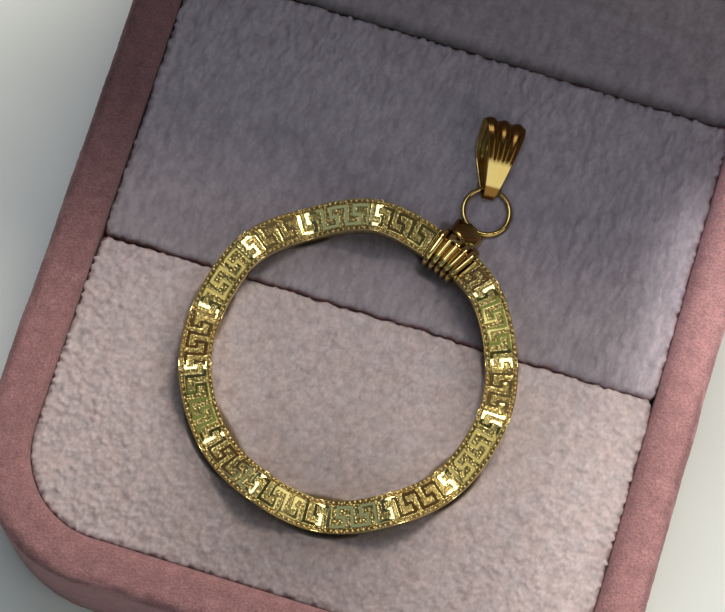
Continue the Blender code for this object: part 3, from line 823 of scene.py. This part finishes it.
def make_pad(node, name, low, high, radii, crease_side, material, comb, seed):
    """One half of the pad: a crowned cushion with tufts, pressed down under the gold pieces.

    The point moves along its normal by crown + tufts + lumps; on the rounding a coarser noise makes
    an uneven edge, the walls all but close the gap but never reach the velvet, and both halves sway
    alike along the crease.
    """
    sizes = casket()
    lowered, coarse, shoulder, seam_width = 0.00020, 0.0012, 0.0040, 0.0015
    clearance, deepest, tallest_curl = 0.00026, 0.0006, 0.00034
    top = np.array([*high[:2], sizes.plush_level - lowered])
    points, normal, x, y, ended = cushion_points(low, top, radii, sizes.plush_edge, sizes.plush_pitch, coarse)
    to_side = (high[0] - low[0]) / 2 - np.abs(x - (high[0] + low[0]) / 2)
    to_rim, to_crease = (y - low[1], high[1] - y)[::crease_side]
    crown = 0.00015 * (smooth(np.minimum(to_side, to_rim) / shoulder) - 0.5)
    tufts = plush_height(x, y, seed, comb)
    lump = value_noise(x, y, 0.004, seed + 7) - 0.5
    ragged = value_noise(x, y, 0.00055, seed + 9) - 0.5
    curls = smooth(value_noise(x, y, 0.00042, seed + 12) * 1.7 - 0.55)
    fade = normal[..., 2]
    seam = 1 - smooth(to_crease / seam_width)
    left = smooth((-x - 0.020) / 0.004) * smooth((y + 0.014) / 0.008)
    wall = clearance - 0.00012 * left - 0.00018 * seam
    push = crown + sizes.tuft_height * ruffle(x, y, comb) * (tufts - 0.4) * 2.0 + 0.00010 * lump
    curls = (tallest_curl - 0.00024 * seam) * curls * (4 * fade * (1 - fade)) ** 0.8
    corner = 0.00034 * seam * 4 * (normal[..., 0] * normal[..., 1]) ** 2
    push = push * fade + wall * (1 - fade) ** 0.5 + curls + corner
    level = np.sqrt(np.maximum(1 - fade ** 2, 0.0025))
    push = np.minimum(push, (clearance + sizes.plush_edge * (1 - level)) / level)
    moved = points + normal * push[..., None]
    sway = value_noise(x, 0 * y, 0.0012, SEED + 30) + 0.6 * value_noise(x, 0 * y, 0.0005, SEED + 31) - 0.8
    moved[..., 1] += 0.00016 * sway * seam
    dent = np.maximum(nap_dents(moved[..., 0], moved[..., 1]), high[2] - deepest) + 0.00004 * tufts
    moved[..., 2] = np.where(fade > 0.5, np.minimum(moved[..., 2], dent), moved[..., 2])
    # Painted shade on the pads' walls, in the gaps at the rims and at the crease, fading towards the crease's
    # right end
    bend = np.degrees(np.arccos(np.clip(fade, -1, 1))) + 30 * ragged
    painted_seam_shade = smooth((bend - 62 + 20 * seam) / 20) * (1 - 0.6 * seam * smooth((x - 0.017) / 0.006))
    # Painted light and shade on the plush, partly the rear pad's nap
    painted_shade_and_nap = nap_and_painted_light(moved[..., 0], moved[..., 1], comb)
    add_cushion(name, moved, ended, material, "base", node,
                {"tuft": tufts, "painted_seam_shade": painted_seam_shade, "painted_shade_and_nap": painted_shade_and_nap, "painted_cool_shade": np.full(x.shape, comb)})


def ruffle(x, y, comb):
    """How far the tufts stand up: most round the ring and in the front left corner, least where combed."""
    around = smooth((ring_polar(x, y)[0] - 0.0165) / 0.0080)
    corner = smooth((-x - y - 0.012) / 0.030)
    patches = value_noise(x, y, 0.005, SEED + 33)
    ends = np.maximum(smooth((x - 0.010) / 0.010), smooth((y - 0.016) / 0.008))
    return (0.55 + 1.25 * around + 0.45 * corner + 0.45 * patches) * (1 - 0.62 * comb * (1 - 0.7 * ends))


def nap_and_painted_light(x, y, comb):
    """Painted light and shade on the plush: painted light beside the right rim, a painted soft shadow
    in the middle of the front, painted shade on the rear, partly for its nap, and painted shadows of
    the ring, inside it at the back and outside it at the front left.
    """
    sizes = pendant()
    # Painted light beside the right rim, and a painted soft shadow over the middle of the front
    right = smooth((x - 0.0165) / 0.0095)
    painted_front_shadow = np.exp(-((x + 0.0015) / 0.015) ** 2 - ((y + 0.023) / 0.016) ** 2)
    front = 1.0 - 0.46 * painted_front_shadow + 0.26 * right
    # Painted shade on the rear, partly for its nap, with painted light close to the right rim
    beside = 1.05 * np.exp(-(np.minimum(x - 0.0273, 0.0) / 0.0031) ** 2) * smooth((0.024 - y) / 0.008)
    rear = 0.67 * (1 + beside) * (1 - 0.10 * smooth((0.010 - y) / 0.010))
    radius, angle = ring_polar(x, y)
    outer, inner = sizes.outer_radius, sizes.outer_radius - sizes.band_width
    # Painted shadows of the ring: inside it at the back and outside it at the front left
    bearing = angle - math.radians(70.0)
    behind = 0.42 * np.exp(-(np.maximum(inner - radius, 0) / 0.0024) ** 2) * smooth(np.cos(bearing) * 1.2)
    before = 0.38 * np.exp(-(np.maximum(radius - outer, 0) / 0.0022) ** 2)
    before = before * smooth(-np.cos(bearing + 0.15) * 1.2)
    painted_ring_shadow = behind * (radius < outer) + before * (radius > inner)
    return (front + (rear - front) * comb) * (1 - painted_ring_shadow)


def make_lining(material):
    """The lid's plush: the same cushion, upside down in the shut lid, then turned open."""
    thick, edge_round, pitch, coarse = 0.0098, 0.0012, 0.00030, 0.002
    corners = (0.0082, 0.0017)
    low, high = np.array([*FRONT_LOW[:2], 0.0]), np.array([*REAR_HIGH[:2], thick])
    points, normal, x, y, ended = cushion_points(low, high, corners, edge_round, pitch, coarse)
    edge = np.minimum((high[0] - low[0]) / 2 - np.abs(x), np.minimum(y - low[1], high[1] - y))
    tufts = plush_height(x, y, SEED + 40, 1.0)
    push = 0.0004 * (smooth(edge / 0.006) - 0.5) + 0.00020 * (tufts - 0.4)
    points = points + normal * (push * (0.3 + 0.7 * normal[..., 2]))[..., None]
    points[..., 2] = LID_TOP - LID_WALL - SEAT_GAP - points[..., 2]
    # Painted shade over the whole lining, with the painted cool tint of shade
    add_cushion("lid_cushion", open_lid(points), ended, material, "lid", "lid_lining",
                {"tuft": tufts, "painted_shade_and_nap": np.full(x.shape, LINING_SHADE), "painted_cool_shade": np.ones(x.shape)})


def flap_path():
    """Side view of the hinge flap, (y, z): from the rear pad, as a ramp over the hinge, to the lining."""
    shut = HINGE_Y - np.array([0.0034, 0.0044, 0.0060, 0.0080])
    lid = open_lid(np.stack([0 * shut, shut, [0.0211, 0.02125, 0.0223, 0.0232]], -1))[:, 1:]
    base = np.array([(0.02835, 0.01845), (0.02850, 0.01895), (0.02920, 0.01925), (0.03040, 0.01955),
                     (0.03150, 0.02045), (0.03260, 0.02165), (0.03370, 0.02285)])
    knots = np.concatenate([base, lid])
    gap = np.linalg.norm(np.diff(knots, axis=0), axis=1)
    at = np.concatenate([[0], np.cumsum(gap)])
    place = np.linspace(0, at[-1], 90)
    curve = np.stack([np.interp(place, at, knots[:, i]) for i in range(2)], -1)
    for _ in range(4):
        curve[1:-1] = (curve[:-2] + 2 * curve[1:-1] + curve[2:]) / 4
    return curve


def make_flap(material):
    """The hinge flap: a strip of plush carried across the box over a bent side view.

    Point = side view + normal * (tufts), with an underside a thickness below, closed at both ends.
    Returns the flap and its flat size.
    """
    path = flap_path()
    tangent = unit(np.gradient(path, axis=0))
    normal = np.stack([-tangent[:, 1], tangent[:, 0]], -1)
    inset, thickness, columns = 0.0049, 0.00055, 180
    half = (BASE_HIGH[0] - BASE_LOW[0]) / 2 - inset
    length = np.concatenate([[0], np.cumsum(np.linalg.norm(np.diff(path, axis=0), axis=1))])
    over, run = np.meshgrid(np.linspace(-half, half, columns), length, indexing="ij")
    tufts = plush_height(over, run, SEED + 60, 1.0)
    lift = 0.00020 * (tufts - 0.4) - 0.0003 * (1 - smooth((half - np.abs(over)) / 0.0008))
    upper, lower = (np.concatenate([over[..., None], path + normal * height[..., None]], -1)
                    for height in (lift, np.full(lift.shape, -thickness)))
    points = np.concatenate([upper, lower[:, ::-1]], 1)
    # Painted shade, darkest in the crease where the flap leaves the rear pad and lifting within 1.8 mm
    painted_shade_and_nap = FLAP_SHADE * (0.36 + 0.64 * smooth(run / 0.0018))
    values = {"tuft": np.concatenate([tufts, tufts[:, ::-1]], 1), "painted_shade_and_nap": np.concatenate([painted_shade_and_nap, painted_shade_and_nap], 1),
              "painted_cool_shade": np.ones(points.shape[:2])}
    flap = add_tube("hinge_flap", points, material, body=None, wrap=(False, True),
                    values=values)
    return flap, (2 * half, length[-1])


def feed(tree, node, inputs):
    """Feed a node's inputs from sockets or constants; a constant colour is made opaque."""
    for key, value in inputs.items():
        socket = node.inputs[key]
        if isinstance(value, bpy.types.NodeSocket):
            tree.links.new(value, socket)
        else:
            socket.default_value = (*value, 1.0) if socket.type == "RGBA" else value


def add_node(tree, kind, output, inputs=None, **settings):
    """Add a shader node with its settings and inputs; returns one of its outputs."""
    node = tree.nodes.new("ShaderNode" + kind)
    for key, value in settings.items():
        setattr(node, key, value)
    feed(tree, node, inputs or {})
    return node.outputs[output]


def material_with(name, colour, metallic, roughness):
    """A Principled material with its nodes and its shader."""
    made = bpy.data.materials.new(name)
    made.use_nodes = True
    tree = made.node_tree
    shader = tree.nodes["Principled BSDF"]
    feed(tree, shader, {"Base Color": colour, "Metallic": metallic, "Roughness": roughness})
    return made, tree, shader


def tinted(colour, factors):
    """A colour with each channel multiplied by a factor."""
    return tuple(c * factor for c, factor in zip(colour, factors))


def product(tree, first, second):
    """Two numbers multiplied."""
    return add_node(tree, "Math", 0, {0: first, 1: second}, operation="MULTIPLY")


def noise_node(tree, scale, detail, stretch=None, turn=0.35):
    """Noise on Object coordinates, with its scale per metre, drawn out where stretch says so."""
    source = add_node(tree, "TexCoord", "Object")
    if stretch:
        source = add_node(tree, "Mapping", "Vector", {"Vector": source, "Rotation": (0.0, 0.0, turn),
                                                      "Scale": stretch})
    return add_node(tree, "TexNoise", "Fac", {"Vector": source, "Scale": scale, "Detail": detail,
                                              "Roughness": 0.65})


def mix_colours(tree, share, first, second):
    """A colour between two, by a share from a socket."""
    return add_node(tree, "Mix", 2, {"Factor": share, 6: first, 7: second}, data_type="RGBA")


def times(tree, colour, factor):
    """A colour multiplied by a number from a socket."""
    return add_node(tree, "VectorMath", 0, {0: colour, "Scale": factor}, operation="SCALE")


def remap(tree, source, low, high, to_low=0.0, to_high=1.0):
    """A number stretched from one range to another and clamped."""
    return add_node(tree, "MapRange", "Result", {"Value": source, "From Min": low, "From Max": high,
                                                 "To Min": to_low, "To Max": to_high})


def bump(tree, shader, height, distance, strength=1.0):
    """A bump from a height socket, after any bump that the shader has."""
    inputs = {"Strength": strength, "Distance": distance, "Height": height}
    earlier = shader.inputs["Normal"].links
    if earlier:
        inputs["Normal"] = earlier[0].from_socket
    feed(tree, shader, {"Normal": add_node(tree, "Bump", "Normal", inputs)})


def attribute(tree, name):
    """The number that the mesh holds under a name."""
    return add_node(tree, "Attribute", "Fac", attribute_name=name)


def tarnished_and_shaded(tree, colour):
    """A colour turned to dark brown where the mesh's attribute is 1: tarnish in the hollows, painted shade
    elsewhere.
    """
    return mix_colours(tree, attribute(tree, "tarnish_and_shade"), colour, pendant().tarnish_and_shade)


def gold_material(name="yellow_gold_polished", pale=0.0, smoothest=0.06, roughest=0.14):
    """Yellow gold with faint ripples and fine handling marks; pale goes from gold, 0, to white, 1, a painted
    highlight over the whole piece.
    """
    gold = tuple(c + (1 - c) * pale for c in pendant().gold)
    made, tree, shader = material_with(name, gold, 1.0, 0.16)
    marks = remap(tree, noise_node(tree, 5200.0, 4.0), 0.35, 0.75, smoothest, roughest)
    tint = remap(tree, noise_node(tree, 420.0, 2.0), 0.3, 0.7)
    clean = mix_colours(tree, tint, gold, tinted(gold, (1.0, 0.93, 0.82)))
    feed(tree, shader, {"Base Color": tarnished_and_shaded(tree, clean), "Roughness": marks})
    bump(tree, shader, noise_node(tree, 1400.0, 2.0), 0.00002, 0.25)
    return made


def band_material():
    """Gold of the band: a polished key on a punched ground, with painted glints on the punches' tops and
    painted shade between them.
    """
    made, tree, shader = material_with("yellow_gold_band", pendant().gold, 1.0, 0.2)
    polish = remap(tree, attribute(tree, "line"), 0.15, 0.20, 1.0, 0.0)
    ground = remap(tree, polish, 0.0, 1.0, 1.0, 0.0)
    punched = add_node(tree, "TexVoronoi", "Distance", {"Vector": add_node(tree, "TexCoord", "Object"),
                                                        "Scale": 4000.0})
    dome = remap(tree, punched, 0.20, 0.62, 1.0, 0.0)
    # Painted glints and shade: the ground's colour is paler on the punches' tops and darker between them
    painted_glints_and_shade = times(tree, pendant().ground_gold, remap(tree, dome, 0.0, 1.0, 0.60, 1.14))
    clean = mix_colours(tree, polish, painted_glints_and_shade, pendant().gold)
    feed(tree, shader, {"Base Color": tarnished_and_shaded(tree, clean),
                        "Roughness": remap(tree, polish, 0.0, 1.0, 0.35, 0.10)})
    bump(tree, shader, noise_node(tree, 900.0, 2.0), 0.00002, 0.10)
    bump(tree, shader, product(tree, dome, ground), 0.00007)
    return made


def velvet_material():
    """Short-pile velvet: fine streaky pile with sheen, darker and paler where the mesh's painted shade and
    light say so.
    """
    colour = casket().velvet
    made, tree, shader = material_with("rose_velvet_pile", colour, 0.0, 1.0)
    light = tuple(min(c * 1.22 + 0.03, 1.0) for c in colour)
    fine = remap(tree, noise_node(tree, 5600.0, 5.0, (0.70, 1.0, 1.0), 0.1), 0.34, 0.66)
    pile = mix_colours(tree, fine, tinted(colour, (0.74, 0.74, 0.74)), light)
    broad = remap(tree, noise_node(tree, 700.0, 4.0), 0.36, 0.66, 0.84, 1.08)
    shade = product(tree, broad, attribute(tree, "shade"))
    feed(tree, shader, {"Base Color": times(tree, pile, shade), "Specular IOR Level": 0.05,
                        "Sheen Weight": 0.30, "Sheen Roughness": 0.45, "Sheen Tint": (1.0, 0.80, 0.80)})
    bump(tree, shader, noise_node(tree, 5200.0, 5.0), 0.00014, 0.9)
    bump(tree, shader, noise_node(tree, 900.0, 3.0), 0.00014, 0.4)
    return made


def plush_material():
    """Soft plush: paler tuft tops over painted shade between them, painted rose shade in the seams, and
    the painted light and shade, partly the nap's, and the painted cool tint of shade that the mesh holds.
    """
    colour = casket().plush
    made, tree, shader = material_with("pale_plush_pile", colour, 0.0, 1.0)
    # Painted shade: the tufts' tops paler, the hollows between them darker
    painted_tuft_shade = remap(tree, attribute(tree, "tuft"), 0.0, 0.75, 0.68, 1.19)
    fibres = remap(tree, noise_node(tree, 3600.0, 5.0, (1.0, 0.7, 1.0)), 0.32, 0.68, 0.89, 1.10)
    clouds = remap(tree, noise_node(tree, 900.0, 3.0, (1.0, 0.6, 1.0)), 0.34, 0.66, 0.93, 1.06)
    # The mesh's painted light and shade, with the nap's, scale the plush's colour
    shade = product(tree, product(tree, product(tree, painted_tuft_shade, fibres), attribute(tree, "painted_shade_and_nap")), clouds)
    patches = remap(tree, noise_node(tree, 420.0, 4.0), 0.36, 0.64)
    plain = mix_colours(tree, patches, tinted(colour, (1.02, 0.98, 0.97)), tinted(colour, (0.98, 1.0, 1.02)))
    # A painted cool tint of shade, on the rear pad, the lining and the flap
    cool_shaded = mix_colours(tree, attribute(tree, "painted_cool_shade"), plain, tinted(colour, (0.97, 1.00, 1.11)))
    # Painted rose shade on the pads' walls in the seams
    seam = tinted(casket().velvet, (0.62, 0.62, 0.62))
    nap = mix_colours(tree, attribute(tree, "painted_seam_shade"), times(tree, cool_shaded, shade), seam)
    feed(tree, shader, {"Base Color": nap, "Specular IOR Level": 0.05, "Sheen Weight": 0.25,
                        "Sheen Roughness": 0.5})
    bump(tree, shader, noise_node(tree, 2600.0, 4.0, (1.0, 0.6, 1.0)), 0.00020, 0.45)
    return made


def steel_material():
    """Drawn steel wire: fine lines along the rod."""
    made, tree, shader = material_with("hinge_wire_steel", (0.55, 0.55, 0.56), 1.0, 0.35)
    lines = noise_node(tree, 3000.0, 2.0, (0.05, 1.0, 1.0), 0.0)
    feed(tree, shader, {"Roughness": remap(tree, lines, 0.3, 0.7, 0.28, 0.48)})
    bump(tree, shader, lines, 0.00001, 0.4)
    return made


def floor_material():
    """Pale table top with a faint, broad mottling."""
    colour = staging().floor
    made, tree, shader = material_with("pale_table", colour, 0.0, 0.6)
    share = remap(tree, noise_node(tree, 60.0, 2.0), 0.3, 0.7)
    mottled = mix_colours(tree, share, tinted(colour, (0.96, 0.96, 0.96)), colour)
    feed(tree, shader, {"Base Color": mottled})
    return made


def add_facing(name, data, turn, middle, distance):
    """An object on the third axis of its turn, at a distance from the middle that it faces."""
    thing = bpy.data.objects.new(name, data)
    bpy.context.scene.collection.objects.link(thing)
    place = np.eye(4)
    place[:3, :3] = turn
    place[:3, 3] = np.array(middle) + distance * turn[:, 2]
    thing.matrix_world = Matrix(place)
    return thing


def add_camera():
    """The camera at the photograph's angle: tilted from straight down, turned by yaw, then rolled."""
    sizes = staging()
    data = bpy.data.cameras.new("photo_camera")
    data.sensor_width = 36.0
    data.lens = sizes.lens
    data.clip_start, data.clip_end = 0.01, 10.0
    turn = rotation(sizes.yaw, 2) @ rotation(sizes.tilt, 0) @ rotation(sizes.roll, 2)
    bpy.context.scene.camera = add_facing("photo_camera", data, turn, sizes.target, sizes.distance)


# Soft boxes: azimuth and angle from straight up in degrees, distance, width, height, colour, radiance
SOFT_BOXES = (
    ("key_window", 80.0, 33.0, 0.60, 0.19, 0.13, (1.00, 0.94, 0.77), 26.0),
    ("overhead", 105.0, 13.0, 0.60, 0.28, 0.20, (0.80, 0.90, 1.00), 3.2),
    ("left_window", 174.0, 41.0, 0.60, 0.40, 0.22, (0.62, 0.85, 1.00), 0.31),
    ("front_fill", -120.0, 30.0, 0.60, 0.26, 0.20, (0.98, 0.96, 0.72), 0.58),
    ("right_fill", -46.0, 29.0, 0.60, 0.24, 0.18, (0.68, 1.00, 0.52), 0.22),
    ("side_light", -28.0, 52.0, 0.16, 0.15, 0.11, (0.98, 1.00, 0.94), 0.98),
)


def add_soft_boxes():
    """Area lights that face the pendant, placed by direction and distance."""
    for name, azimuth, zenith, distance, width, height, colour, radiance in SOFT_BOXES:
        data = bpy.data.lights.new(name, "AREA")
        data.shape = "RECTANGLE"
        data.size, data.size_y = width, height
        data.color = colour
        data.energy = radiance * staging().light * math.pi * width * height
        turn = rotation(math.radians(azimuth + 90.0), 2) @ rotation(math.radians(zenith), 0)
        add_facing(name, data, turn, (0.0, 0.0, 0.0), distance).visible_camera = False


def add_world():
    """Dim room light: grey-blue on the left, olive on the right, brown behind the lid."""
    world = bpy.data.worlds.new("room")
    world.use_nodes = True
    tree = world.node_tree
    split = tree.nodes.new("ShaderNodeSeparateXYZ")
    feed(tree, split, {"Vector": add_node(tree, "TexCoord", "Generated")})
    right = remap(tree, split.outputs["X"], -0.8, 0.5)
    behind = remap(tree, split.outputs["Y"], 0.1, 0.7)
    sides = mix_colours(tree, right, (0.055, 0.065, 0.085), (0.045, 0.05, 0.045))
    room = mix_colours(tree, behind, sides, (0.085, 0.052, 0.045))
    feed(tree, tree.nodes["Background"], {"Color": room, "Strength": staging().light})
    bpy.context.scene.world = world


class PENDANT_OT_stage(bpy.types.Operator):
    """Set up the table, the camera and the soft light"""

    bl_idname = "pendant.stage"
    bl_label = "Stage"

    def execute(self, context):
        reach = 2.0
        corners = [(-reach, -reach, 0), (reach, -reach, 0), (reach, reach, 0), (-reach, reach, 0)]
        mesh = bpy.data.meshes.new("table")
        mesh.from_pydata(corners, [], [(0, 1, 2, 3)])
        table = bpy.data.objects.new("table", mesh)
        table.location.z = BASE_LOW[2]
        mesh.materials.append(floor_material())
        context.scene.collection.objects.link(table)
        add_camera()
        add_soft_boxes()
        add_world()
        context.scene.view_settings.view_transform = "Standard"
        return {"FINISHED"}


class PENDANT_OT_key_ring(bpy.types.Operator):
    """Build the wavy band with its key, and its rows of beads"""

    bl_idname = "pendant.key_ring"
    bl_label = "Key Ring"

    def execute(self, context):
        make_ring_band(band_material())
        # The beads' gold is paled towards white, a painted highlight
        make_beads(gold_material("yellow_gold_beads", 0.30, 0.26, 0.38))
        return {"FINISHED"}


class PENDANT_OT_collar(bpy.types.Operator):
    """Build the ribbed collar with its hairpin and eye"""

    bl_idname = "pendant.collar"
    bl_label = "Collar"

    def execute(self, context):
        gold = gold_material()
        make_collar(gold)
        make_hairpin(gold)
        make_eye(gold)
        return {"FINISHED"}


class PENDANT_OT_links(bpy.types.Operator):
    """Build the jump ring and the fluted bail"""

    bl_idname = "pendant.links"
    bl_label = "Jump Ring and Bail"

    def execute(self, context):
        make_jump_ring(gold_material())
        make_bail(gold_material("yellow_gold_soft", 0.0, 0.17, 0.27))
        return {"FINISHED"}


class PENDANT_OT_box(bpy.types.Operator):
    """Build the velvet shells of the base and the lid, and finish the hinge"""

    bl_idname = "pendant.box"
    bl_label = "Velvet Box"

    def execute(self, context):
        velvet = velvet_material()
        make_box_base(velvet)
        make_lid(velvet)
        frame["nodes"]["hinge_rod"].material_slots[0].material = steel_material()
        return {"FINISHED"}


class PENDANT_OT_plush(bpy.types.Operator):
    """Build the plush pads, the lid's lining and the flap over the hinge"""

    bl_idname = "pendant.plush"
    bl_label = "Plush"

    def execute(self, context):
        plush = plush_material()
        make_pad("front_pad", "front_cushion", FRONT_LOW, FRONT_HIGH, (0.0082, 0.0009), 1, plush,
                 comb=0.0, seed=SEED + 10)
        make_pad("rear_pad", "rear_cushion", REAR_LOW, REAR_HIGH, (0.0009, 0.0013), -1, plush,
                 comb=1.0, seed=SEED + 20)
        make_lining(plush)
        flap, flat = make_flap(plush)
        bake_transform(flap)
        return {"FINISHED"}


class PENDANT_PT_sidebar(bpy.types.Panel):
    """Lists the pieces' operators and sizes"""

    bl_idname = "PENDANT_PT_sidebar"
    bl_label = "Key Pendant"
    bl_space_type = "VIEW_3D"
    bl_region_type = "UI"
    bl_category = "Pendant"

    def draw(self, context):
        for operator in OPERATORS:
            self.layout.operator(operator.bl_idname)
        for group in (getattr(context.scene, name) for name in GROUPS):
            column = self.layout.column(align=True)
            for name in group.bl_rna.properties.keys():
                if name not in {"rna_type", "name"}:
                    column.prop(group, name)


OPERATORS = (PENDANT_OT_stage, PENDANT_OT_box, PENDANT_OT_plush, PENDANT_OT_key_ring,
             PENDANT_OT_collar, PENDANT_OT_links)
GROUPS = {"key_pendant": PendantSizes, "velvet_box": BoxSizes, "pendant_stage": StageSizes}
CLASSES = (*GROUPS.values(), *OPERATORS, PENDANT_PT_sidebar)


def register():
    for item in CLASSES:
        bpy.utils.register_class(item)
    for name, group in GROUPS.items():
        setattr(bpy.types.Scene, name, PointerProperty(type=group))


def unregister():
    for name in GROUPS:
        delattr(bpy.types.Scene, name)
    for item in reversed(CLASSES):
        bpy.utils.unregister_class(item)


def main():
    """Register the add-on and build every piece."""
    register()
    bpy.ops.pendant.stage()
    bpy.ops.pendant.box()
    bpy.ops.pendant.plush()
    bpy.ops.pendant.key_ring()
    bpy.ops.pendant.collar()
    bpy.ops.pendant.links()


if __name__ == "__main__":
    main()
